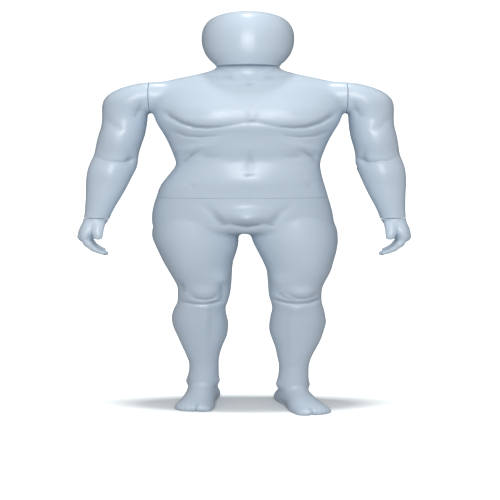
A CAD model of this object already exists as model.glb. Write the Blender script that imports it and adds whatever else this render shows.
"""Looks of the full-body shop mannequin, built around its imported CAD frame.

Metres, +Z up, the figure faces -Y and its own left side is at +X. The shells are moulded
from one sculpted pattern, so the pattern comes first and each shell is then cut from it.
"""

from math import pi, radians

import bmesh
import bpy
import numpy as np
from mathutils import Matrix, Vector


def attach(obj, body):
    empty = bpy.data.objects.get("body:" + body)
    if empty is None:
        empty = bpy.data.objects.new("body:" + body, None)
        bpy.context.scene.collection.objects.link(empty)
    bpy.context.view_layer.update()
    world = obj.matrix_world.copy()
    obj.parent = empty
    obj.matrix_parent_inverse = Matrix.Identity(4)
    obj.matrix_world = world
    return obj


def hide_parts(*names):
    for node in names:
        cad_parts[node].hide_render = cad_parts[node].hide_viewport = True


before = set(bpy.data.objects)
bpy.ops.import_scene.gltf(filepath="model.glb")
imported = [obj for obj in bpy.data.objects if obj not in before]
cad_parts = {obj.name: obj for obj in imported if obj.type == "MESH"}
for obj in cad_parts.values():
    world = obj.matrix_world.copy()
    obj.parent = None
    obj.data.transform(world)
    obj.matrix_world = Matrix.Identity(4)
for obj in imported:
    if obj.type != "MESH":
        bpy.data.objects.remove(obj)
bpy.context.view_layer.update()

# ---------------------------------------------------------------------------------------
# The pattern: the clay figure that all the shells are moulded from, in one continuous skin.
# Trunk, legs, flat-soled feet and arms are lofted tubes that run into each other.

MM = 0.001
# The pattern is worked about the middle of the chest; finished pieces are set back by this.
SET_BACK = 46

# Trunk: height, half width, front, back, sideways shift, roundness (2 is an ellipse).
TRUNK = (
    (1640, 57, -60, 50, 0, 2.0),
    (1612, 58, -58, 55, 0, 2.0),
    (1592, 63, -54, 62, 0, 1.9),
    (1575, 88, -53, 70, 0, 1.75),
    (1558, 125, -55, 80, 0, 1.8),
    (1538, 159, -64, 90, 0, 1.95),
    (1510, 175, -80, 100, 0, 2.15),
    (1475, 179, -98, 109, 0, 2.25),
    (1435, 180, -113, 116, 0, 2.35),
    (1395, 177, -122, 117, 0, 2.45),
    (1355, 172, -127, 112, 0, 2.5),
    (1322, 164, -128, 105, 0, 2.5),
    (1290, 156, -119, 97, 0, 2.4),
    (1250, 148, -111, 88, 0, 2.35),
    (1200, 140, -105, 80, 0, 2.35),
    (1155, 136, -101, 77, 0, 2.35),
    (1110, 144, -102, 82, -5, 2.4),
    (1060, 155, -104, 93, -10, 2.4),
    (1000, 164, -103, 108, -11, 2.4),
    (945, 171, -101, 120, -11, 2.4),
    (895, 174, -98, 123, -10, 2.4),
    (862, 170, -93, 116, -8, 2.4),
    (842, 120, -82, 98, -7, 2.2),
    (832, 52, -64, 66, -7, 2.0),
)
# Legs: height, half width, front, back, centre line of the right leg and of the left leg.
LEG = (
    (915, 74, -84, 102, -93, 79),
    (880, 81, -90, 110, -97, 84),
    (845, 84, -93, 108, -100, 87),
    (813, 83, -94, 99, -101, 89),
    (784, 81, -94, 92, -99, 91),
    (740, 75, -92, 83, -97, 94),
    (697, 68, -88, 75, -96, 96),
    (650, 61.5, -81, 68, -92, 97),
    (609, 56.5, -73, 62, -88, 94),
    (570, 52.5, -66, 57, -85, 91),
    (530, 51, -63, 52, -86, 91),
    (491, 49.5, -56, 52, -89, 94),
    (461, 50.5, -53, 59, -94, 97),
    (427, 53.5, -49, 69, -96, 97),
    (390, 55.5, -45, 77, -95, 97),
    (350, 53.5, -41, 76, -93, 95),
    (311, 48.5, -38, 69, -91, 95),
    (270, 41.5, -35, 58, -91, 94),
    (225, 34.5, -33, 50, -90, 91),
    (180, 30, -33, 45, -88, 90),
    (140, 30.5, -36, 44, -88, 89),
    (100, 32.5, -42, 45, -90, 88),
    (50, 29, -42, 42, -90, 88),
)
ANKLE_SHIFT = {-1: 34.0, 1: -18.0}
TOE_OUT = {-1: 4.0, 1: 11.0}
FOOT_LENGTH = 256.0
# Foot: distance ahead of the ankle as a share of its length, half width, top, outward shift.
FOOT = (
    (-0.235, 15, 30, 0),
    (-0.205, 26, 52, 0),
    (-0.13, 32, 76, 0),
    (0.0, 33.5, 92, 0),
    (0.14, 33.5, 84, 0),
    (0.28, 34, 66, 0),
    (0.42, 36.5, 49, 1),
    (0.55, 38.5, 38, 2),
    (0.65, 37, 31, 1),
    (0.725, 30, 26, -3),
    (0.765, 17, 19, -7),
)
# Shoulder cap, armpit point then outer point: offset and height of each, half depth, middle.
SHOULDER = (
    (118, 1408, 118, 1524, 60, 6),
    (152, 1403, 152, 1536, 63, 5),
    (184, 1400, 184, 1536, 65, 4),
    (187, 1397, 216, 1524, 66, 3),
    (188, 1393, 242, 1501, 65, 2),
    (188, 1388, 260, 1470, 62, 1),
    (187, 1382, 269, 1432, 58, 1),
)
# Arm: height, half width, front, back, share of the outward lean.
ARM = (
    (1370, 43, -53, 55, 0.02),
    (1335, 43, -54, 53, 0.06),
    (1290, 44, -55, 50, 0.15),
    (1245, 43, -53, 46, 0.25),
    (1205, 42.5, -49, 43, 0.33),
    (1172, 45, -48, 41, 0.40),
    (1140, 46, -53, 38, 0.47),
    (1100, 43.5, -57, 31, 0.57),
    (1055, 39.5, -59, 22, 0.66),
    (1010, 34.5, -60, 13, 0.75),
    (965, 29.5, -60, 6, 0.86),
    (925, 26, -60, 0, 0.95),
    (880, 24.5, -62, -1, 1.06),
)
ARM_TOP = 229.0
ARM_LEAN = {-1: 58.0, 1: 46.0}
SIDES = {-1: "right", 1: "left"}
SKIN_STEP = 3.8 * MM


def between(rows, count):
    """Catmull-Rom curve through the rows of a table, read at count even steps."""
    rows = np.asarray(rows, float)
    ends = np.concatenate([[2 * rows[0] - rows[1]], rows, [2 * rows[-1] - rows[-2]]])
    place = np.linspace(0, len(rows) - 1, count)
    first = np.minimum(place.astype(int), len(rows) - 2)
    t = (place - first)[:, None]
    a, b, c, d = (ends[first + i] for i in range(4))
    return 0.5 * (2 * b + (c - a) * t + (2 * a - 5 * b + 4 * c - d) * t**2 + (3 * b - a - 3 * c + d) * t**3)


def oval(count, power):
    """Cosine and sine of even turns, each raised to 2/power with its sign kept."""
    turn = np.linspace(0, 2 * pi, count, endpoint=False)[None, :]
    c, s = np.cos(turn), np.sin(turn)
    share = 2 / np.asarray(power, float).reshape(-1, 1)
    return np.sign(c) * np.abs(c) ** share, np.sign(s) * np.abs(s) ** share


def tube(centres, across, span, up, rise, power=2.1, count=96):
    """Rings of points: centre + across * span * cos + up * rise * sin, one ring per row."""
    c, s = oval(count, np.broadcast_to(power, len(centres)))
    wide = (np.reshape(span, (-1, 1)) * c)[..., None] * across[:, None, :]
    tall = (np.reshape(rise, (-1, 1)) * s)[..., None] * up[:, None, :]
    return centres[:, None, :] + wide + tall


def closed(rings, base=0):
    """Points and faces of a tube of rings whose two ends are shut by a fan to their middle."""
    rows, count = rings.shape[:2]
    grid = np.arange(rows * count).reshape(rows, count)
    nxt = np.roll(grid, -1, axis=1)
    quads = np.stack([grid[:-1], nxt[:-1], nxt[1:], grid[1:]], -1).reshape(-1, 4)
    low = np.full(count, rows * count)
    high = low + 1
    fans = np.concatenate([
        np.stack([nxt[0], grid[0], low, low], -1),
        np.stack([grid[-1], nxt[-1], high, high], -1),
    ])
    points = np.concatenate([rings.reshape(-1, 3), rings[[0, -1]].mean(axis=1)])
    return points, [*(quads + base).tolist(), *(fans[:, :3] + base).tolist()]


def mesh_object(name, points, faces):
    """A named mesh object from arrays of points and faces, shaded smooth."""
    mesh = bpy.data.meshes.new(name)
    mesh.from_pydata(points, [], faces)
    mesh.polygons.foreach_set("use_smooth", np.ones(len(mesh.polygons), bool))
    mesh.update()
    piece = bpy.data.objects.new(name, mesh)
    bpy.context.scene.collection.objects.link(piece)
    return piece


def fused(name, tubes, step):
    """One skin round overlapping tubes: they are joined, then rebuilt on an even grid."""
    points, faces = [], []
    for rings in tubes:
        new_points, new_faces = closed(rings, sum(len(p) for p in points))
        points.append(new_points)
        faces += new_faces
    piece = mesh_object(name, np.concatenate(points), faces)
    remesh = piece.modifiers.new("skin", "REMESH")
    remesh.mode = "VOXEL"
    remesh.voxel_size = step
    remesh.use_smooth_shade = True
    ready = piece.evaluated_get(bpy.context.evaluated_depsgraph_get())
    mesh = bpy.data.meshes.new_from_object(ready)
    bpy.data.objects.remove(piece)
    return mesh


def read_points(mesh, what="co"):
    """Vertex places or normals of a mesh as an array."""
    data = np.empty(len(mesh.vertices) * 3, np.float32)
    source, field = (mesh.vertices, "co") if what == "co" else (mesh.vertex_normals, "vector")
    source.foreach_get(field, data)
    return data.reshape(-1, 3).astype(float)


def relaxed(points, edges, share, rounds):
    """Each point moves by a share of the way to the mean of its neighbours, round after round."""
    count = len(points)
    ends = np.concatenate([edges, edges[:, ::-1]])
    degree = np.maximum(np.bincount(ends[:, 0], minlength=count), 1)
    share = np.broadcast_to(share, count)[:, None]
    for _ in range(rounds):
        total = np.stack([np.bincount(ends[:, 0], points[ends[:, 1], k], count) for k in range(3)], -1)
        points = points + share * (total / degree[:, None] - points)
    return points


def arm_axis(side, height, share):
    """Sideways place of an arm's centre line at a height, in millimetres."""
    return side * (ARM_TOP + ARM_LEAN[side] * share)


def trunk_tube():
    """Flat ovals up the trunk, front and back measured from the mid plane."""
    rows = between(TRUNK, 240)
    height, half, front, back, shift, power = rows.T
    centres = np.stack([shift, (front + back) / 2, height], -1)
    x = np.broadcast_to([1.0, 0, 0], centres.shape)
    y = np.broadcast_to([0.0, 1, 0], centres.shape)
    return tube(centres, x, half, y, (back - front) / 2, power, 160) * MM


def leg_tube(side):
    """Flat ovals down a leg, carried forward or back from hip to ankle."""
    rows = between(LEG, 240)
    height, half, front, back, right, left = rows.T
    lean = ANKLE_SHIFT[side] * (LEG[0][0] - height) / (LEG[0][0] - LEG[-1][0])
    centres = np.stack([right if side < 0 else left, (front + back) / 2 + lean, height], -1)
    x = np.broadcast_to([1.0, 0, 0], centres.shape)
    y = np.broadcast_to([0.0, 1, 0], centres.shape)
    return tube(centres, x, half, y, (back - front) / 2, 2.15, 96) * MM


def foot_axes(side):
    """Floor point under an ankle, and the foot's heading and outward direction."""
    turn = radians(TOE_OUT[side])
    ankle = np.array([LEG[-1][4] if side < 0 else LEG[-1][5], ANKLE_SHIFT[side], 0.0])
    heading = np.array([side * np.sin(turn), -np.cos(turn), 0.0])
    outward = np.array([side * np.cos(turn), np.sin(turn), 0.0])
    return ankle, heading, outward


def foot_tube(side):
    """Upright arches along the foot, each shut by a straight sole."""
    share, half, top, shift = between(FOOT, 90).T
    ankle, heading, outward = foot_axes(side)
    centres = ankle + heading * (share * FOOT_LENGTH)[:, None] + outward * shift[:, None]
    c, s = oval(72, np.full(len(share), 2.4))
    rings = centres[:, None, :] + (half[:, None] * c)[..., None] * outward
    rings[..., 2] += top[:, None] * np.maximum(s, 0)
    return rings * MM


def arm_tube(side):
    """Ovals that fan round the armpit over the shoulder cap, then go down to the wrist."""
    in_x, in_z, out_x, out_z, half, middle = np.array(SHOULDER, float).T
    flat = np.zeros_like(in_x)
    armpit = np.stack([side * in_x, middle, in_z], -1)
    outer = np.stack([side * out_x, middle, out_z], -1)
    height, width, front, rear, share = np.array(ARM, float).T
    line = np.stack([arm_axis(side, height, share), (front + rear) / 2, height], -1)
    reach = np.stack([side * width, 0 * width, 0 * width], -1)
    armpit = np.concatenate([armpit, line - reach])
    outer = np.concatenate([outer, line + reach])
    depth = np.concatenate([half, (rear - front) / 2])
    rows = between(np.column_stack([armpit, outer, depth]), 260)
    armpit, outer, depth = rows[:, :3], rows[:, 3:6], rows[:, 6]
    span = np.linalg.norm(outer - armpit, axis=1) / 2
    across = (outer - armpit) / (2 * span[:, None])
    back = np.broadcast_to([0.0, 1, 0], across.shape)
    return tube((armpit + outer) / 2, across, span, back, depth, 2.1, 96) * MM


body_tubes = [trunk_tube()]
for side in SIDES:
    body_tubes += [leg_tube(side), foot_tube(side), arm_tube(side)]
skin = fused("pattern", body_tubes, SKIN_STEP)
points = read_points(skin)
edges = np.empty(len(skin.edges) * 2, np.int32)
skin.edges.foreach_get("vertices", edges)
edges = edges.reshape(-1, 2)
points = relaxed(points, edges, 0.5, 6)


def near(points, centre, radii):
    """Bell round a centre: exp of minus the squared distance counted in radii."""
    gap = (points - np.asarray(centre) * MM) / (np.asarray(radii) * MM)
    return np.exp(-(gap**2).sum(-1))


# Where the tubes meet, the clay is worked into one surface: groin, seat, armpits, neck, ankles.
blend = 0.9 * near(points, (-8, 30, 850), (130, 130, 42))
for side in SIDES:
    ankle = foot_axes(side)[0]
    blend += 0.8 * near(points, (side * 150, 0, 1420), (52, 110, 90))
    blend += 0.9 * near(points, ankle + (0, 0, 84), (60, 80, 44))
    blend += 0.8 * near(points, (side * 110, 10, 1545), (60, 70, 22))
points = relaxed(points, edges, np.minimum(blend, 0.6), 45)
points[:, 2] = np.maximum(points[:, 2], 0)


def facing_out(points, mesh=skin):
    """Unit normals of a mesh once its points are moved here."""
    mesh.vertices.foreach_set("co", points.astype(np.float32).ravel())
    mesh.update()
    return read_points(mesh, "normal")


def swell(points, normals, centre, radii, height):
    """Raises (or, below zero, sinks) the skin along its normals in a soft round patch."""
    return points + normals * (height * MM * near(points, centre, radii))[:, None]


def crease(points, normals, view, path, width):
    """Sinks the skin along a line drawn on it as seen along an axis of view.

    path rows are across, up and depth; depth falls off as a bell of the distance from the
    line, counted in widths, and only skin that faces the view moves. With no view the line
    is drawn on the floor plan and all the skin above and below it moves.
    """
    axis, sign = view or (2, 0)
    flat = points[:, [1 - axis, 2]] if axis < 2 else points[:, :2]
    facing = np.clip(normals[:, axis] * sign * 1.6, 0, 1) if view else np.ones(len(points))
    path = np.array(path, float) * MM
    low = path[:, :2].min(0) - 3 * width * MM
    high = path[:, :2].max(0) + 3 * width * MM
    pick = np.flatnonzero(((flat > low) & (flat < high)).all(-1) & (facing > 0))
    spots = flat[pick]
    best = np.full(len(pick), np.inf)
    depth = np.zeros(len(pick))
    for start, end in zip(path[:-1], path[1:]):
        run = end[:2] - start[:2]
        share = np.clip(((spots - start[:2]) @ run) / (run @ run), 0, 1)
        gap = np.linalg.norm(spots - start[:2] - share[:, None] * run, axis=1)
        closer = gap < best
        best = np.where(closer, gap, best)
        depth = np.where(closer, start[2] + share * (end[2] - start[2]), depth)
    moved = points.copy()
    bell = np.exp(-((best / (width * MM)) ** 2))
    moved[pick] -= normals[pick] * (depth * bell * facing[pick])[:, None]
    return moved


FRONT = (1, -1)
REAR = (1, 1)
CHEST_X = 5


def mirrored(path, middle=0):
    """The same line on both sides of a middle."""
    return [[(middle + side * x, z, d) for x, z, d in path] for side in SIDES]


# Broad masses first: chest, rib cage, belly, back, seat, shoulders, thighs and calves.
normals = facing_out(points)
for side in SIDES:
    x = side
    points = swell(points, normals, (CHEST_X + x * 82, -120, 1388), (66, 60, 46), 9)
    points = swell(points, normals, (CHEST_X + x * 100, -118, 1350), (44, 50, 24), 6)
    points = swell(points, normals, (x * 86, 110, 1440), (44, 50, 58), 7)
    points = swell(points, normals, (x * 132, 70, 1330), (34, 60, 70), 4)
    points = swell(points, normals, (x * 34 - 4, 85, 1150), (18, 40, 90), 5)
    points = swell(points, normals, (x * 84 - 11, 118, 905), (60, 60, 58), 15)
    points = swell(points, normals, (x * 252, -20, 1450), (34, 50, 62), 5)
    for height, share, depth, size, gain in (
        (1262, 0.21, -52, (27, 30, 58), 6),
        (1290, 0.15, 50, (28, 30, 62), 6),
        (1120, 0.52, -52, (26, 34, 46), 5),
        (1166, 0.42, 40, (15, 16, 17), 6),
    ):
        points = swell(points, normals, (arm_axis(side, height, share), depth, height), size, gain)
    leg_x = -88 if side < 0 else 92
    lean = ANKLE_SHIFT[side]
    points = swell(points, normals, (leg_x + x * 34, -60 + lean * 0.2, 700), (30, 50, 120), 5)
    points = swell(points, normals, (leg_x - x * 34, -60 + lean * 0.4, 615), (20, 34, 36), 7)
    points = swell(points, normals, (leg_x - x * 24, 70 + lean * 0.6, 392), (24, 34, 72), 6)
    points = swell(points, normals, (leg_x + x * 26, 70 + lean * 0.6, 405), (22, 34, 64), 5)
    points = swell(points, normals, (leg_x, 66 + lean * 0.3, 700), (40, 34, 110), 5)
points = swell(points, normals, (CHEST_X, -110, 1178), (92, 60, 36), -7)
points = swell(points, normals, (CHEST_X - 80, -90, 1194), (26, 50, 18), -4)
points = swell(points, normals, (CHEST_X + 84, -90, 1194), (26, 50, 18), -4)
points = swell(points, normals, (-2, -104, 1080), (80, 60, 46), 6)
points = swell(points, normals, (-2, -98, 912), (33, 60, 34), 28)
points = swell(points, normals, (-2, -112, 916), (24, 40, 22), 6)
points = swell(points, normals, (0, 80, 1530), (60, 50, 36), 4)

# Knees: the cap stands proud, with the pad of the shin below it.
normals = facing_out(points)
for x, y, z, size, gain in (
    (-82, -66, 553, (24, 30, 26), 8),
    (-86, -60, 478, (16, 24, 22), 5),
    (104, -72, 555, (25, 30, 24), 9),
    (94, -62, 476, (17, 24, 22), 5),
):
    points = swell(points, normals, (x, y, z), size, gain)

# Lines of the chest, belly, back and groin.
normals = facing_out(points)
lines = [
    (FRONT, [(8, 1440, 0.2), (8, 1405, 1.2), (8, 1370, 1.9), (7, 1345, 2), (6, 1322, 1)], 9),
    (FRONT, [(4, 1215, 1), (4, 1165, 2), (4, 1128, 1.5)], 8),
    (
        FRONT,
        [(-124, 1076, 0.3), (-108, 1068, 1.2), (-100, 1056, 1.5), (-101, 1044, 1.2), (-110, 1034, 0.3)],
        7.5,
    ),
    (FRONT, [(127, 1076, 0.3), (117, 1067, 1.2), (113, 1055, 1.5), (117, 1043, 1.2), (127, 1035, 0.3)], 7.5),
    (REAR, [(0, 1570, 1), (0, 1480, 4), (0, 1400, 7), (0, 1300, 8), (0, 1200, 9), (-6, 1110, 8)], 14),
    (REAR, [(-6, 1110, 8), (-10, 1050, 5), (-11, 1012, 1.5)], 14),
    (REAR, [(-11, 985, 1.5), (-11, 950, 12), (-11, 905, 20), (-11, 868, 20), (-11, 838, 12)], 10),
]
CHEST_FOLD = (
    (156, 1392, 3),
    (146, 1368, 6),
    (126, 1340, 7.5),
    (104, 1323, 7.5),
    (80, 1319, 6),
    (54, 1325, 4.5),
    (30, 1335, 3.4),
    (6, 1345, 2.2),
)
FOLD_FLOOR = ((150, 1378, 1.5), (128, 1341, 3.5), (104, 1322, 4), (80, 1318, 3), (56, 1324, 1.5))
for path in mirrored(CHEST_FOLD, CHEST_X):
    lines.append((FRONT, path, 9))
for path in mirrored(FOLD_FLOOR, CHEST_X):
    lines.append((FRONT, path, 4.5))
for path in mirrored([(66, 1286, 1.5), (92, 1280, 3.5), (118, 1284, 3.5), (138, 1302, 2)], CHEST_X):
    lines.append((FRONT, path, 7))
for path in mirrored([(60, 1262, -2), (84, 1240, -5), (112, 1226, -5), (132, 1220, -3)], CHEST_X):
    lines.append((FRONT, path, 16))
for path in mirrored([(96, 1222, 2), (112, 1196, 4), (124, 1172, 3)], CHEST_X):
    lines.append((FRONT, path, 8))
for path in mirrored([(96, 990, 0.5), (76, 964, 1.5), (60, 934, 3), (52, 906, 4.5), (44, 880, 5)], -2):
    lines.append((FRONT, path, 11))
for path in mirrored([(10, 1522, -1), (50, 1532, -2), (96, 1541, -2), (150, 1542, -1)], 2):
    lines.append((FRONT, path, 8))
for path in mirrored([(34, 1550, 1.6), (70, 1556, 1.6), (104, 1560, 0.8)], 2):
    lines.append((FRONT, path, 10))
for path in mirrored([(44, 1602, -0.8), (30, 1570, -1.6), (14, 1530, -1.6)], 2):
    lines.append((FRONT, path, 8))
for path in mirrored([(62, 1372, 3), (100, 1368, 5), (140, 1392, 3)]):
    lines.append((REAR, path, 10))
for path in mirrored([(20, 836, 6), (60, 832, 8), (96, 838, 6), (130, 852, 2)], -11):
    lines.append((REAR, path, 9))
lines.append((FRONT, [(-9, 1524, 1.6), (2, 1516, 2.4), (13, 1524, 1.6)], 8))
lines.append((FRONT, [(-36, 890, 2), (-22, 876, 6), (-2, 868, 8), (18, 876, 6), (32, 890, 2)], 9))
# Elbows: the fold in front and the groove beside the point behind.
for side in SIDES:
    x = arm_axis(side, 1176, 0.4)
    fold = [(-44, 1186, 5), (-22, 1170, 5), (8, 1174, 3), (30, 1190, 1)]
    fold = [(x + side * along, height, depth) for along, height, depth in fold]
    lines.append((FRONT, fold, 7))
    lines.append((FRONT, [(x - side * 30, 1225, 1), (x - side * 36, 1195, 4), (x - side * 30, 1160, 3)], 8))
    lines.append((REAR, [(x - side * 20, 1195, 3), (x - side * 20, 1160, 4), (x - side * 16, 1135, 2)], 6))
    x = arm_axis(side, 1300, 0.12)
    lines.append((FRONT, [(x + side * 30, 1370, 1), (x + side * 12, 1335, 3), (x + side * 2, 1312, 2)], 10))
    lines.append((FRONT, [(side * 196, 1440, 2), (side * 200, 1405, 4), (side * 206, 1378, 3)], 7))
# Knees and shins.
lines += [
    (
        FRONT,
        [
            (-112, 556, 1), (-109, 536, 2), (-98, 520, 4), (-82, 513, 4.5),
            (-66, 520, 4), (-57, 540, 2), (-56, 556, 1),
        ],
        6.5,
    ),
    (FRONT, [(-126, 500, 3), (-106, 492, 6), (-86, 489, 7), (-66, 494, 7), (-52, 504, 5)], 7.5),
    (FRONT, [(-50, 590, 3), (-46, 556, 5), (-47, 520, 5)], 8),
    (FRONT, [(-134, 600, 2), (-131, 578, 5), (-129, 552, 3)], 8),
    (FRONT, [(66, 560, 1), (76, 544, 2.5), (90, 528, 4), (106, 522, 4), (124, 530, 2.5), (131, 550, 1)], 6.5),
    (FRONT, [(54, 512, 5), (74, 502, 8), (96, 498, 9), (118, 502, 8), (136, 514, 5)], 8),
    (FRONT, [(60, 548, 3), (66, 530, 4), (84, 514, 3)], 6),
    (FRONT, [(-80, 470, -2), (-84, 400, -3), (-86, 300, -3), (-88, 200, -2)], 8),
    (FRONT, [(88, 470, -2), (84, 400, -3), (86, 300, -3), (88, 200, -2)], 8),
    (FRONT, [(-70, 470, 0.5), (-68, 420, 1.8), (-70, 350, 1.8), (-76, 290, 0.5)], 12),
    (REAR, [(-86, 470, 1), (-90, 400, 4), (-92, 330, 3), (-92, 290, 1)], 9),
    (REAR, [(90, 470, 1), (94, 400, 4), (95, 330, 3), (95, 290, 1)], 9),
    (REAR, [(-128, 520, 2), (-90, 512, 3), (-56, 520, 2)], 10),
    (REAR, [(58, 520, 2), (94, 512, 3), (132, 520, 2)], 10),
]
for view, path, width in lines:
    points = crease(points, normals, view, path, width)
points = swell(points, normals, (3, -104, 1105), (7, 30, 7), -2.4)
points = swell(points, normals, (3, -104, 1117), (10, 30, 4), 1.2)

# Ankles: the two knobs, the hollows beside the heel cord, and the instep.
normals = facing_out(points)
for side in SIDES:
    ankle, heading, outward = foot_axes(side)
    for place, size, gain in (
        (outward * 31 + heading * -2 + (0, 0, 82), (14, 16, 20), 4),
        (outward * -31 + heading * 6 + (0, 0, 90), (14, 16, 20), 4),
        (outward * 22 - heading * 28 + (0, 0, 100), (12, 14, 40), -6),
        (outward * -22 - heading * 28 + (0, 0, 100), (12, 14, 40), -6),
        (outward * -26 + heading * 24 + (0, 0, 62), (14, 18, 14), -1.5),
        (outward * -34 + heading * 66 + (0, 0, 14), (14, 34, 12), -5),
        (outward * -10 + heading * 90 + (0, 0, 52), (14, 50, 20), 3),
    ):
        points = swell(points, normals, ankle + place, size, gain)
points[:, 2] = np.maximum(points[:, 2], 0)
points = relaxed(points, edges, 0.35, 2)
normals = facing_out(points)


# ---------------------------------------------------------------------------------------
# Torso: a glass-fibre shell 3.5 mm thick, painted satin white, laid up in a mould from the
# pattern. It is trimmed flat at the waist, the neck and both shoulders, with eased edges.

WALL = 3.5
SEAM_GAP = 0.5
EDGE_ROUND = 1.6
WAIST_Z = 1001
NECK_Z = 1604
SHOULDER_X = 183
BOARD_BACK = 20


def read_edges(mesh):
    pairs = np.empty(len(mesh.edges) * 2, np.int32)
    mesh.edges.foreach_get("vertices", pairs)
    return pairs.reshape(-1, 2)


def trimmed(mesh, cuts, clear=None):
    """The part of a mesh behind each cut, a plane given by a point and an outward normal."""
    made = bmesh.new()
    made.from_mesh(mesh)
    if clear is not None:
        drop = np.flatnonzero(clear(read_points(mesh)))
        made.verts.ensure_lookup_table()
        bmesh.ops.delete(made, geom=[made.verts[i] for i in drop], context="VERTS")
    for point, normal in cuts:
        every = [*made.verts, *made.edges, *made.faces]
        spot = Vector(point) * MM
        bmesh.ops.bisect_plane(made, geom=every, plane_co=spot, plane_no=Vector(normal), clear_outer=True)
    result = bpy.data.meshes.new("trimmed")
    made.to_mesh(result)
    made.free()
    return result


def rim(points, point, normal, depth, taper):
    """Rings that carry a trimmed edge on: eased over, across the wall, then down inside.

    The edge is put in order by its turn about its middle. Each ring is the edge moved
    inwards and along the plane's normal; the last rings shrink to the middle and close.
    """
    normal = np.asarray(normal, float)
    normal /= np.linalg.norm(normal)
    on_plane = np.abs((points - np.asarray(point) * MM) @ normal) < 2e-6
    loop = np.flatnonzero(on_plane)
    ring = points[loop]
    middle = ring.mean(0)
    side_axis = np.cross(normal, [0.3, 0.9, 0.31])
    side_axis /= np.linalg.norm(side_axis)
    up_axis = np.cross(normal, side_axis)
    turn = np.arctan2((ring - middle) @ up_axis, (ring - middle) @ side_axis)
    loop = loop[np.argsort(turn)]
    ring = points[loop]
    along = np.roll(ring, -3, 0) - np.roll(ring, 3, 0)
    inward = np.cross(normal, along)
    inward /= np.linalg.norm(inward, axis=1)[:, None]
    rings = []
    for bend in np.linspace(0, pi / 2, 5)[1:]:
        step = EDGE_ROUND * MM
        rings.append(ring + inward * step * (1 - np.cos(bend)) + normal * step * np.sin(bend))
    face = rings[-1] + inward * (WALL - EDGE_ROUND) * MM
    rings.append(face)
    for share in (0.08, 0.4, 1.0):
        shrink = 1 - taper * share
        rings.append(middle + (face - middle) * shrink - normal * depth * MM * share)
    rings.append(middle + (rings[-1] - middle) * 0.5)
    return loop, np.array(rings), rings[-1].mean(0)


def add_rims(mesh, rims):
    """A mesh with each of its trimmed edges carried on by rings and shut by a fan."""
    points = read_points(mesh)
    made = bmesh.new()
    made.from_mesh(mesh)
    for place, normal, depth, taper in rims:
        loop, rings, middle = rim(points, place, normal, depth, taper)
        rings = np.concatenate([points[loop][None], rings])
        rows, count = rings.shape[:2]
        grid = np.arange(rows * count).reshape(rows, count)
        nxt = np.roll(grid, -1, axis=1)
        quads = np.stack([grid[:-1], nxt[:-1], nxt[1:], grid[1:]], -1).reshape(-1, 4)
        fan = np.stack([grid[-1], nxt[-1], np.full(count, rows * count)], -1)
        lip = bpy.data.meshes.new("lip")
        spots = np.concatenate([rings.reshape(-1, 3), [middle]])
        lip.from_pydata(spots, [], [*quads.tolist(), *fan.tolist()])
        made.from_mesh(lip)
        bpy.data.meshes.remove(lip)
    bmesh.ops.remove_doubles(made, verts=made.verts, dist=1e-6)
    bmesh.ops.recalc_face_normals(made, faces=made.faces)
    for face in made.faces:
        face.smooth = True
    made.to_mesh(mesh)
    made.free()


def hollowness(mesh, rounds=14):
    """Stores how hollow the skin is at each point: how far its relaxed place lies outwards."""
    points = read_points(mesh)
    outward = read_points(mesh, "normal")
    calm = relaxed(points, read_edges(mesh), 0.5, rounds)
    depth = ((calm - points) * outward).sum(-1) / MM
    layer = mesh.attributes.new("hollow", "FLOAT", "POINT")
    layer.data.foreach_set("value", np.clip(depth / 1.2, -1, 1).astype(np.float32))


def finished(name, mesh):
    """A mesh made an object, smooth but for its sharp corners."""
    mesh.name = name
    mesh.set_sharp_from_angle(angle=radians(50))
    piece = bpy.data.objects.new(name, mesh)
    bpy.context.scene.collection.objects.link(piece)
    return piece


def edge_plane(point, normal):
    """A trim plane set back from the seam by half its gap and the eased edge."""
    back = SEAM_GAP / 2 + EDGE_ROUND
    return tuple(np.asarray(point) - np.asarray(normal, float) * back), tuple(normal)


def shell(trims, clear=None):
    """A piece of the pattern behind its trims, each (point, normal, depth of the rim, taper).

    clear says, for an array of points, which of them belong to another piece.
    """
    cuts = [edge_plane(point, normal) for point, normal, _, _ in trims]
    mesh = trimmed(skin, cuts, clear)
    add_rims(mesh, [(*cut, depth, taper) for cut, (_, _, depth, taper) in zip(cuts, trims)])
    return mesh


torso_mesh = shell([
    ((0, 0, WAIST_Z), (0, 0, -1), BOARD_BACK, 0.0),
    ((0, 0, NECK_Z), (0, 0, 1), BOARD_BACK, 0.0),
    ((SHOULDER_X, 0, 0), (1, 0, 0), 62, 0.2),
    ((-SHOULDER_X, 0, 0), (-1, 0, 0), 62, 0.2),
])
print("torso", len(torso_mesh.vertices), len(torso_mesh.polygons))
hollowness(torso_mesh)
torso = finished("torso_skin", torso_mesh)

# ---------------------------------------------------------------------------------------
# Hips and legs: one glass-fibre moulding, closed at the soles and trimmed at the waist, with
# toes modelled in the pattern, a spigot hole in the left sole and a screw hole in the heel.

# Lines between the toes: across at the web, ahead, across at the tips, share of full depth.
TOE_LINES = ((-6, 160, -5, 0.8), (8.5, 157, 7, 0.2), (20, 151, 17, 0.2), (30, 144, 25, 0.2))
# Big toe first: across and ahead of the ankle, half width, length, how proud it stands.
TOES = (
    (-18, 176, 11, 22, 2.4),
    (1, 178, 8, 16, 0.5),
    (14, 173, 7, 15, 0.5),
    (25, 163, 6.5, 14, 0.5),
    (34, 152, 6, 12, 0.5),
)
SPIGOT_HOLE = 8.25
SCREW_HOLE = 3.1
SCREW_Z = 24

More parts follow.
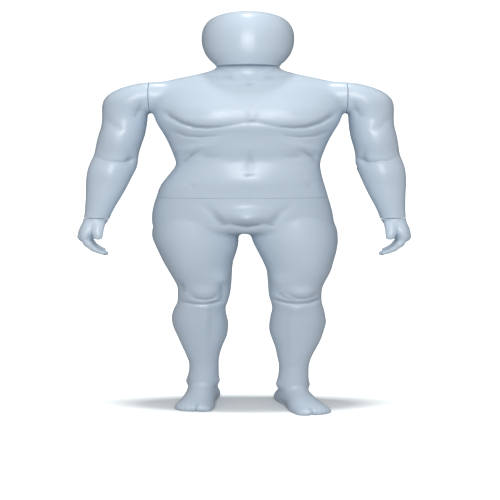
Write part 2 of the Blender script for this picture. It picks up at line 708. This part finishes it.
legs_mesh = shell([((0, 0, WAIST_Z), (0, 0, 1), 75, 0.15)], lambda p: np.abs(p[:, 0]) > 0.206)
made = bmesh.new()
made.from_mesh(legs_mesh)
ends = read_points(legs_mesh)[read_edges(legs_mesh)]
ahead = np.zeros(ends.shape[:2])
for side in SIDES:
    ankle, heading, outward = foot_axes(side)
    ahead += np.where(ends[..., 0] * side > 0, (ends - ankle * MM) @ heading, 0)
fore = np.flatnonzero((ends[..., 2].max(1) < 0.05) & (ahead.min(1) > 0.135))
made.edges.ensure_lookup_table()
bmesh.ops.subdivide_edges(made, edges=[made.edges[i] for i in fore], cuts=1, use_grid_fill=True)
made.to_mesh(legs_mesh)
made.free()
points = read_points(legs_mesh)
pairs = read_edges(legs_mesh)
front_foot = np.zeros(len(points))
for side in SIDES:
    ankle, heading, outward = foot_axes(side)
    front_foot += near(points, ankle + heading * 175, (60, 40, 60))
points = relaxed(points, pairs, 0.5 * np.clip(front_foot * 2 - 0.6, 0, 1), 4)
for side in SIDES:
    ankle, heading, outward = foot_axes(side)
    normals = facing_out(points, legs_mesh)
    for across, ahead, half, length, gain in TOES:
        place = ankle + outward * across + heading * ahead + (0, 0, 16)
        points = swell(points, normals, place, (half, length, 13), gain)
    normals = facing_out(points, legs_mesh)
    for web, start, tip, share in TOE_LINES:
        line = [ankle + outward * (web + (tip - web) * t) + heading * (start + 46 * t) for t in (0, 0.35, 1)]
        path = [(spot[0], spot[1], gain) for spot, gain in zip(line, (0.5 * share, 3.6 * share, 4.2 * share))]
        points = crease(points, normals, None, path, 2.8)
points[:, 2] = np.maximum(points[:, 2], 0)
facing_out(points, legs_mesh)


def drilled(mesh, rods):
    """A mesh with round holes sunk in it; each rod is its two ends and its radius."""
    piece = mesh_object("drilled", [], [])
    piece.data = mesh
    cutters = []
    for start, end, radius in rods:
        run = np.asarray(end, float) - start
        run /= np.linalg.norm(run)
        across = np.cross(run, [0.2, 0.3, 0.93] if abs(run[2]) < 0.5 else [0.93, 0.3, 0.2])
        across /= np.linalg.norm(across)
        ring = [np.stack([axis, axis]) for axis in (across, np.cross(run, across))]
        ends = np.stack([start, end]).astype(float)
        radii = np.array([radius, radius])
        rings = tube(ends, ring[0], radii, ring[1], radii, 2.0, 40)
        cutters.append(mesh_object("rod", *closed(rings * MM)))
        hole = piece.modifiers.new("hole", "BOOLEAN")
        hole.object = cutters[-1]
        hole.solver = "EXACT"
    ready = piece.evaluated_get(bpy.context.evaluated_depsgraph_get())
    result = bpy.data.meshes.new_from_object(ready)
    for spent in (piece, *cutters):
        bpy.data.objects.remove(spent)
    return result


ankle, heading, outward = foot_axes(1)
screw = ankle + (0, 0, SCREW_Z)
legs_mesh = drilled(legs_mesh, [
    (ankle - (0, 0, 5), ankle + (0, 0, 108), SPIGOT_HOLE),
    (screw, screw - heading * 90, SCREW_HOLE),
])
legs_mesh.polygons.foreach_set("use_smooth", np.ones(len(legs_mesh.polygons), bool))
print("legs", len(legs_mesh.vertices), len(legs_mesh.polygons))
hollowness(legs_mesh)
legs = finished("legs_skin", legs_mesh)

# ---------------------------------------------------------------------------------------
# Arms: a glass-fibre shell each, from the shoulder seam to the wrist, where it is trimmed
# square to the forearm for the hand.

WRIST_Z = 905


def wrist_axes(side):
    """Middle of a wrist seam and the hand's outward, forward and downward directions."""
    wrist = np.array([arm_axis(side, WRIST_Z, 1.0), -30.5, WRIST_Z])
    low = np.array([arm_axis(side, 880, 1.06), -31.5, 880])
    high = np.array([arm_axis(side, 965, 0.86), -27, 965])
    down = (low - high) / np.linalg.norm(low - high)
    forward = np.array([0, -1.0, 0]) - down * -down[1]
    forward /= np.linalg.norm(forward)
    out = np.array([side, 0, 0]) - down * down[0] * side
    out -= forward * forward[0] * side
    return wrist, out / np.linalg.norm(out), forward, down


arms = {}
for side, name in SIDES.items():
    wrist, out, forward, down = wrist_axes(side)
    trims = [((side * SHOULDER_X, 0, 0), (-side, 0, 0), BOARD_BACK, 0.0), (wrist, down, 36, 0.0)]
    arm_mesh = shell(trims, lambda p: (np.abs(p[:, 0]) < 0.206) & (p[:, 2] < 1.15))
    print(name, len(arm_mesh.vertices), len(arm_mesh.polygons))
    hollowness(arm_mesh)
    arms[side] = finished(f"{name}_arm_skin", arm_mesh)

# ---------------------------------------------------------------------------------------
# Hands: solid resin castings on a steel peg, relaxed, with the palm towards the thigh.

# Distance down, half thickness, half breadth, outward and forward shift.
PALM = (
    (1.9, 24.2, 29.4, 0, 0),
    (18, 22.8, 30.5, 1, 0),
    (40, 20.5, 35.5, 4, 2),
    (64, 18.2, 39.5, 7, 3),
    (88, 16, 41.5, 8, 2),
    (104, 13.5, 40, 7, 1),
    (112, 9, 37, 6, 0),
)
# Index first: forward place at the knuckle, length as a share of the longest, splay.
FINGERS = ((30, 0.93, 0.03), (10, 1.0, 0.0), (-10, 0.94, -0.02), (-29, 0.76, -0.05))
FINGER_LENGTH = 94.0
FINGER_RADIUS = 10.8
# Along each finger: step as a share of its length, further bend in degrees, radius as a share.
FINGER_BENDS = (
    (0, 0, 1.02),
    (0.2, 6, 0.94),
    (0.2, 10, 1.0),
    (0.12, 6, 0.9),
    (0.18, 8, 0.92),
    (0.12, 8, 0.82),
    (0.12, 6, 0.72),
)
THUMB = (
    (-6, 14, 14, 14),
    (-8, 24, 28, 13.5),
    (-11, 33, 46, 11.8),
    (-13, 38, 62, 11.4),
    (-16, 42, 78, 9.8),
    (-18, 43, 90, 8.4),
)


def bent_tube(spots, radii, across, flat=1.0, count=32):
    """Circles along a bent line, turned square to it, closed in a round tip."""
    run = spots[-1] - spots[-2]
    run /= np.linalg.norm(run)
    last = radii[-1]
    tip = np.array([0.35, 0.65, 0.88, 0.98])
    spots = np.concatenate([spots, spots[-1] + run * last * tip[:, None]])
    radii = np.concatenate([radii, last * np.sqrt(1 - tip**2)])
    along = np.gradient(spots, axis=0)
    along /= np.linalg.norm(along, axis=1)[:, None]
    up = np.cross(along, across)
    up /= np.linalg.norm(up, axis=1)[:, None]
    sideways = np.cross(up, along)
    return tube(spots, sideways, radii, up, radii * flat, 2.0, count) * MM


hands = {}
for side, name in SIDES.items():
    wrist, out, forward, down = wrist_axes(side)

    def place(outward, ahead, below):
        """A point of the hand from its wrist, along its own three directions."""
        spot = wrist + np.multiply.outer(outward, out)
        spot = spot + np.multiply.outer(ahead, forward)
        return spot + np.multiply.outer(below, down)

    below, thick, broad, outward, ahead = between(PALM, 60).T
    centres = place(outward, ahead, below)
    axes = [np.broadcast_to(axis, centres.shape) for axis in (out, forward)]
    tubes = [tube(centres, axes[0], thick, axes[1], broad, 2.2, 64) * MM]
    tips = []
    for ahead, share, splay in FINGERS:
        step, bend, radius = np.array(FINGER_BENDS, float).T
        bend = np.radians(8 + np.cumsum(bend))
        heading = np.cos(bend)[:, None] * down - np.sin(bend)[:, None] * out + splay * forward
        spots = place(7, ahead, 92) + np.cumsum(heading * (step * share * FINGER_LENGTH)[:, None], axis=0)
        line = between(np.column_stack([spots, radius * FINGER_RADIUS]), 40)
        tubes.append(bent_tube(line[:, :3], line[:, 3], forward, 0.9))
        tips.append((line[-1, :3], heading[-1], spots))
    outward, ahead, below, radius = np.array(THUMB, float).T
    line = between(np.column_stack([place(outward, ahead, below), radius]), 40)
    tubes.append(bent_tube(line[:, :3], line[:, 3], out, 0.92))
    hand_mesh = fused(f"{name}_hand", tubes, 1.3 * MM)
    pairs = read_edges(hand_mesh)
    points = relaxed(read_points(hand_mesh), pairs, 0.5, 5)
    webs = sum(near(points, place(6, x, 100), (14, 9, 12)) for x in (20, 0, -20))
    webs = webs + near(points, place(-3, 26, 40), (20, 20, 26))
    points = relaxed(points, pairs, np.minimum(webs * 0.7, 0.6), 16)
    for ahead, share, splay in FINGERS:
        normals = facing_out(points, hand_mesh)
        points = swell(points, normals, place(19, ahead, 90), (8, 6, 7), 1.8)
        points = swell(points, normals, place(21, ahead * 0.9, 66), (7, 2.6, 22), 1.0)
        gap = 10 if ahead > -20 else 12
        points = swell(points, normals, place(19, ahead - gap, 92), (7, 3.2, 9), -1.4)
    for tip, heading, spots in tips:
        normals = facing_out(points, hand_mesh)
        dorsal = np.cross(heading, forward)
        dorsal *= np.sign(dorsal @ out)
        points = swell(points, normals, tip + dorsal * 6, (5.0, 5.2, 5.5), -0.9)
        points = swell(points, normals, tip - heading * 7 + dorsal * 6, (4, 5, 2), 0.7)
        for knuckle in (2, 4):
            points = swell(points, normals, spots[knuckle] + dorsal * 9, (5, 6, 4.5), 0.9)
            points = swell(points, normals, spots[knuckle] - dorsal * 8, (6, 7, 1.8), -0.9)
    normals = facing_out(points, hand_mesh)
    points = swell(points, normals, place(-11, 16, 42), (12, 14, 24), 4)
    points = swell(points, normals, place(-9, -22, 56), (12, 11, 26), 3)
    points = swell(points, normals, place(-11, 0, 62), (8, 12, 16), -3)
    facing_out(points, hand_mesh)
    print(name, "hand", len(hand_mesh.vertices))
    hollowness(hand_mesh, 24)
    hands[side] = finished(f"{name}_hand_cast", hand_mesh)

# ---------------------------------------------------------------------------------------
# Head: a faceless egg of glass fibre, cut flat under the jaw. The cut is closed by a flat
# underside with a hole for the neck fitting, and the head turns on the neck.

# Height, half width, front, back, roundness.
HEAD = (
    (1590, 55, -82, 34, 2.15),
    (1612, 61.5, -90, 58, 2.2),
    (1632, 70, -96, 75, 2.2),
    (1660, 78.5, -101, 90, 2.2),
    (1695, 84, -103, 100, 2.15),
    (1730, 85.5, -101, 105, 2.1),
    (1765, 83.5, -95, 104, 2.05),
    (1795, 77.5, -84, 97, 2.0),
    (1820, 66, -68, 83, 2.0),
    (1838, 47, -46, 61, 2.0),
    (1847, 26, -24, 38, 2.0),
)
CROWN = (1850, 0, 7, 7, 2.0)

rows = between(HEAD + (CROWN,), 230)
rows = rows[rows[:, 0] > NECK_Z + SEAM_GAP / 2 + EDGE_ROUND]
height, half, front, back, power = rows[:-1].T
centres = np.stack([0 * height, (front + back) / 2, height], -1)
x = np.broadcast_to([1.0, 0, 0], centres.shape)
y = np.broadcast_to([0.0, 1, 0], centres.shape)
egg = tube(centres, x, half, y, (back - front) / 2, power, 180) * MM
cut_z = NECK_Z + SEAM_GAP / 2
jaw = egg[0]
middle = np.array([0, -2, 0]) * MM
under = []
for bend in np.linspace(pi / 2, 0, 6):
    ring = jaw.copy()
    ring[:, :2] += (middle - jaw)[:, :2] * 0.022 * (1 - np.cos(bend))
    ring[:, 2] = (cut_z + EDGE_ROUND * (1 - np.sin(bend))) * MM
    under.append(ring)
turn = np.linspace(0, 2 * pi, 180, endpoint=False)
hole = np.stack([50 * np.cos(turn), 48 * np.sin(turn) - 2, 0 * turn + cut_z], -1) * MM
inner = [hole + (0, 0, lift * MM) for lift in (0, 3, 58)]
egg = np.concatenate([inner[::-1], under, egg])
head_points, head_faces = closed(egg)
head = mesh_object("head_egg", head_points, head_faces)
made = bmesh.new()
made.from_mesh(head.data)
bmesh.ops.recalc_face_normals(made, faces=made.faces)
made.to_mesh(head.data)
made.free()
hollowness(head.data, 6)
head.data.set_sharp_from_angle(angle=radians(50))

# ---------------------------------------------------------------------------------------
# Paint: pale blue-white satin over the moulded shells, with the faint ripple of a sprayed
# coat, a little dust in the hollows and a slight greying where hands hold it.


def painted(name, tone, rough):
    """Satin paint: cloudy tone and gloss, ripple and pinholes as bump, dust in hollows."""
    paint = bpy.data.materials.new(name)
    paint.use_nodes = True
    nodes, links = paint.node_tree.nodes, paint.node_tree.links
    shader = nodes["Principled BSDF"]
    place = nodes.new("ShaderNodeTexCoord").outputs["Object"]

    def noise(scale, detail, what="Fac"):
        made = nodes.new("ShaderNodeTexNoise")
        made.inputs["Scale"].default_value = scale
        made.inputs["Detail"].default_value = detail
        links.new(place, made.inputs["Vector"])
        return made.outputs[what]

    def spread(value, low, high, start=0.3, end=0.7):
        made = nodes.new("ShaderNodeMapRange")
        made.inputs["From Min"].default_value = start
        made.inputs["From Max"].default_value = end
        made.inputs["To Min"].default_value = low
        made.inputs["To Max"].default_value = high
        links.new(value, made.inputs["Value"])
        return made.outputs["Result"]

    def mix(share, first, second):
        made = nodes.new("ShaderNodeMix")
        made.data_type = "RGBA"
        links.new(share, made.inputs["Factor"])
        for socket, value in ((made.inputs["A"], first), (made.inputs["B"], second)):
            if isinstance(value, tuple):
                socket.default_value = (*value, 1)
            else:
                links.new(value, socket)
        return made.outputs["Result"]

    hollow = nodes.new("ShaderNodeAttribute")
    hollow.attribute_name = "hollow"
    clouds = mix(spread(noise(3.2, 4), 0, 1), tone, tuple(c * k for c, k in zip(tone, (0.955, 0.965, 0.975))))
    dusty = tuple(c * k for c, k in zip(tone, (0.66, 0.68, 0.70)))
    dust = mix(spread(hollow.outputs["Fac"], 0, 0.85, 0.05, 1.0), clouds, dusty)
    specks = mix(spread(noise(900, 2), 0, 0.35, 0.72, 0.78), dust, (0.52, 0.53, 0.52))
    links.new(specks, shader.inputs["Base Color"])
    links.new(spread(noise(26, 5), rough - 0.05, rough + 0.09), shader.inputs["Roughness"])
    shader.inputs["IOR"].default_value = 1.5
    shader.inputs["Coat Weight"].default_value = 0.25
    shader.inputs["Coat Roughness"].default_value = 0.22
    ripple = nodes.new("ShaderNodeBump")
    ripple.inputs["Strength"].default_value = 0.22
    ripple.inputs["Distance"].default_value = 0.0006
    links.new(noise(210, 3), ripple.inputs["Height"])
    sag = nodes.new("ShaderNodeBump")
    sag.inputs["Strength"].default_value = 0.25
    sag.inputs["Distance"].default_value = 0.004
    links.new(noise(17, 2), sag.inputs["Height"])
    links.new(ripple.outputs["Normal"], sag.inputs["Normal"])
    links.new(sag.outputs["Normal"], shader.inputs["Normal"])
    return paint


shell_paint = painted("shell_paint", (0.66, 0.77, 0.885), 0.36)
hand_paint = painted("hand_paint", (0.68, 0.79, 0.90), 0.33)
worn = {
    torso: ("torso", "torso_shell", "white_shell", shell_paint),
    legs: ("lower_body", "legs_shell", "white_shell", shell_paint),
    head: ("head", "head_shell", "white_shell", shell_paint),
}
for side, name in SIDES.items():
    worn[arms[side]] = (f"{name}_arm", f"{name}_arm_shell", "white_shell", shell_paint)
    worn[hands[side]] = (f"{name}_forehand", f"{name}_hand", "hand_resin", hand_paint)
for piece, (body, node, finish, paint) in worn.items():
    piece.data.transform(Matrix.Translation((0, SET_BACK * MM, 0)))
    piece.data.materials.clear()
    piece.data.materials.append(paint)
    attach(piece, body)
    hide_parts(node)

# ---------------------------------------------------------------------------------------
# Boards: sanded birch plywood discs bonded inside each opening, the carriers of the fittings.
# The grain runs across the figure, with the veneers showing at the edge.


def plain(name):
    """A bare principled material with its nodes, links, shader and Object coordinates."""
    made = bpy.data.materials.new(name)
    made.use_nodes = True
    nodes, links = made.node_tree.nodes, made.node_tree.links
    place = nodes.new("ShaderNodeTexCoord").outputs["Object"]
    return made, nodes, links, nodes["Principled BSDF"], place


def stretched(nodes, links, place, scale, size, detail):
    """Noise squeezed by a scale along each axis."""
    mapping = nodes.new("ShaderNodeMapping")
    mapping.inputs["Scale"].default_value = scale
    links.new(place, mapping.inputs["Vector"])
    noise = nodes.new("ShaderNodeTexNoise")
    noise.inputs["Scale"].default_value = size
    noise.inputs["Detail"].default_value = detail
    links.new(mapping.outputs["Vector"], noise.inputs["Vector"])
    return noise.outputs["Fac"]


def ramp(nodes, links, value, *stops):
    """Colours along a value, each stop a place and a colour."""
    made = nodes.new("ShaderNodeValToRGB")
    for i, (spot, colour) in enumerate(stops):
        stop = made.color_ramp.elements[i] if i < 2 else made.color_ramp.elements.new(spot)
        stop.position = spot
        stop.color = (*colour, 1)
    links.new(value, made.inputs["Fac"])
    return made.outputs["Color"]


def bumped(nodes, links, shader, height, strength, distance):
    """Surface relief from a height."""
    made = nodes.new("ShaderNodeBump")
    made.inputs["Strength"].default_value = strength
    made.inputs["Distance"].default_value = distance
    links.new(height, made.inputs["Height"])
    links.new(made.outputs["Normal"], shader.inputs["Normal"])


birch, nodes, links, shader, place = plain("birch_plywood")
grain = stretched(nodes, links, place, (6, 90, 90), 3.0, 8)
veneer = ((0.3, (0.62, 0.44, 0.26)), (0.5, (0.74, 0.57, 0.37)), (0.72, (0.82, 0.67, 0.46)))
links.new(ramp(nodes, links, grain, *veneer), shader.inputs["Base Color"])
shader.inputs["Roughness"].default_value = 0.68
bumped(nodes, links, shader, grain, 0.3, 0.0004)

# ---------------------------------------------------------------------------------------
# Pegs, sockets, pin, screws and spigot tube: turned steel, zinc plated, with the fine rings
# of the lathe and a slight yellow bloom in the plating.

zinc, nodes, links, shader, place = plain("zinc_plate")
bloom = stretched(nodes, links, place, (1, 1, 1), 60, 5)
plating = ((0.35, (0.56, 0.57, 0.58)), (0.6, (0.68, 0.68, 0.66)), (0.75, (0.72, 0.69, 0.60)))
links.new(ramp(nodes, links, bloom, *plating), shader.inputs["Base Color"])
shader.inputs["Metallic"].default_value = 1.0
wear = stretched(nodes, links, place, (1, 1, 1), 140, 4)
links.new(ramp(nodes, links, wear, (0.3, (0.26,) * 3), (0.7, (0.42,) * 3)), shader.inputs["Roughness"])
bumped(nodes, links, shader, stretched(nodes, links, place, (1, 1, 30), 90, 2), 0.12, 0.0002)

# ---------------------------------------------------------------------------------------
# Washers and wrist plugs: natural nylon, milky and slightly waxy.

nylon, nodes, links, shader, place = plain("natural_nylon")
milk = stretched(nodes, links, place, (1, 1, 1), 45, 3)
cream = ((0.3, (0.80, 0.78, 0.71)), (0.7, (0.88, 0.86, 0.80)))
links.new(ramp(nodes, links, milk, *cream), shader.inputs["Base Color"])
shader.inputs["Roughness"].default_value = 0.45
shader.inputs["Subsurface Weight"].default_value = 0.15
shader.inputs["Subsurface Radius"].default_value = (0.002, 0.002, 0.0015)
bumped(nodes, links, shader, stretched(nodes, links, place, (1, 1, 1), 400, 2), 0.1, 0.0002)

covered = {node for _, node, _, _ in worn.values()}
for name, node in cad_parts.items():
    if name in covered:
        continue
    if "board" in name or name == "spigot_heel_block":
        finish = birch
    elif "washer" in name or "wrist_plug" in name:
        finish = nylon
    else:
        finish = zinc
    for place in node.material_slots:
        place.material = finish

# ---------------------------------------------------------------------------------------
# Setting: a plain white floor running up to a white wall. To the camera only, both glow to
# full white, but for an oval round the feet, where the shadow of the small lamp straight
# overhead is left to show. A wide fill lights the front. The camera is a little above hip
# height, tipped down, and takes in 2.5 times less sideways than upright for its width.

floor_size = 14.0
rows = np.linspace(0, 1, 60)
side_line = np.array([-1.0, 1.0]) * floor_size
curve = np.clip((rows - 0.6) / 0.2, 0, 1) * pi / 2
sweep = np.where(rows < 0.6, rows / 0.6 * 18 - 9, 9 + 3 * np.sin(curve))
rise = np.where(rows < 0.6, 0, 3 * (1 - np.cos(curve)) + np.clip(rows - 0.8, 0, 1) * 40)
points = np.array([(x, y, z - 0.0002) for y, z in zip(sweep, rise) for x in side_line])
faces = [(2 * i, 2 * i + 1, 2 * i + 3, 2 * i + 2) for i in range(len(rows) - 1)]
floor = mesh_object("studio_floor", points, faces)
white, nodes, links, shader, place = plain("studio_white")
patches = stretched(nodes, links, place, (1, 1, 1), 2.0, 3)
sheen = ramp(nodes, links, patches, (0.3, (0.90, 0.93, 0.94)), (0.7, (0.92, 0.95, 0.96)))
seen = nodes.new("ShaderNodeLightPath").outputs["Is Camera Ray"]
paler = nodes.new("ShaderNodeMix")
paler.data_type = "RGBA"
paler.inputs["A"].default_value = (0.34, 0.36, 0.38, 1)
links.new(seen, paler.inputs["Factor"])
links.new(sheen, paler.inputs["B"])
links.new(paler.outputs["Result"], shader.inputs["Base Color"])
squeeze = nodes.new("ShaderNodeMapping")
squeeze.inputs["Location"].default_value = (0, 0.015, 0)
squeeze.inputs["Scale"].default_value = (0.45, 1, 0.2)
links.new(place, squeeze.inputs["Vector"])
away = nodes.new("ShaderNodeVectorMath")
away.operation = "LENGTH"
links.new(squeeze.outputs["Vector"], away.inputs[0])
fade = nodes.new("ShaderNodeMapRange")
for socket, value in (("From Min", 0.09), ("From Max", 0.17), ("To Min", 0.0), ("To Max", 1.0)):
    fade.inputs[socket].default_value = value
links.new(away.outputs["Value"], fade.inputs["Value"])
glow = nodes.new("ShaderNodeMath")
glow.operation = "MULTIPLY"
links.new(fade.outputs["Result"], glow.inputs[1])
links.new(seen, glow.inputs[0])
shader.inputs["Emission Color"].default_value = (0.93, 0.99, 1.0, 1)
links.new(glow.outputs[0], shader.inputs["Emission Strength"])
shader.inputs["Roughness"].default_value = 0.9
shader.inputs["Specular IOR Level"].default_value = 0.1
floor.data.materials.append(white)


def lamp(name, place, aim, size, watts, tint=(1, 1, 1)):
    """A square soft light at a place, turned to its aim."""
    data = bpy.data.lights.new(name, "AREA")
    data.shape = "SQUARE"
    data.size = size
    data.energy = watts
    data.color = tint
    made = bpy.data.objects.new(name, data)
    made.location = place
    made.rotation_euler = (Vector(aim) - Vector(place)).to_track_quat("-Z", "Y").to_euler()
    bpy.context.scene.collection.objects.link(made)


lamp("overhead", (0.0, 0.03, 7.0), (0, 0.03, 0), 0.45, 100)
lamp("key", (0.0, -1.9, 3.6), (0, 0, 1.2), 1.6, 5)
lamp("front_fill", (0.0, -3.6, 2.5), (0, 0, 1.0), 1.6, 66)
world = bpy.data.worlds.new("studio")
bpy.context.scene.world = world
world.use_nodes = True
world.node_tree.nodes["Background"].inputs["Color"].default_value = (1, 1, 1, 1)
world.node_tree.nodes["Background"].inputs["Strength"].default_value = 0.40

HALF_TURN = 0.1544
HALF_RISE = 0.386
lens = bpy.data.cameras.new("camera")
lens.type = "PANO"
lens.panorama_type = "CENTRAL_CYLINDRICAL"
lens.central_cylindrical_range_u_min = -HALF_TURN
lens.central_cylindrical_range_u_max = HALF_TURN
lens.central_cylindrical_range_v_min = -HALF_RISE
lens.central_cylindrical_range_v_max = HALF_RISE
lens.central_cylindrical_radius = 1.0
camera = bpy.data.objects.new("camera", lens)
camera.location = (0.0038, -3.083 + SET_BACK * MM, 1.163)
camera.rotation_euler = (radians(90 - 7.66), 0, 0)
bpy.context.scene.collection.objects.link(camera)
bpy.context.scene.camera = camera
bpy.context.scene.view_settings.view_transform = "Standard"
bpy.context.scene.view_settings.look = "None"
bpy.context.scene.view_settings.exposure = 0.0
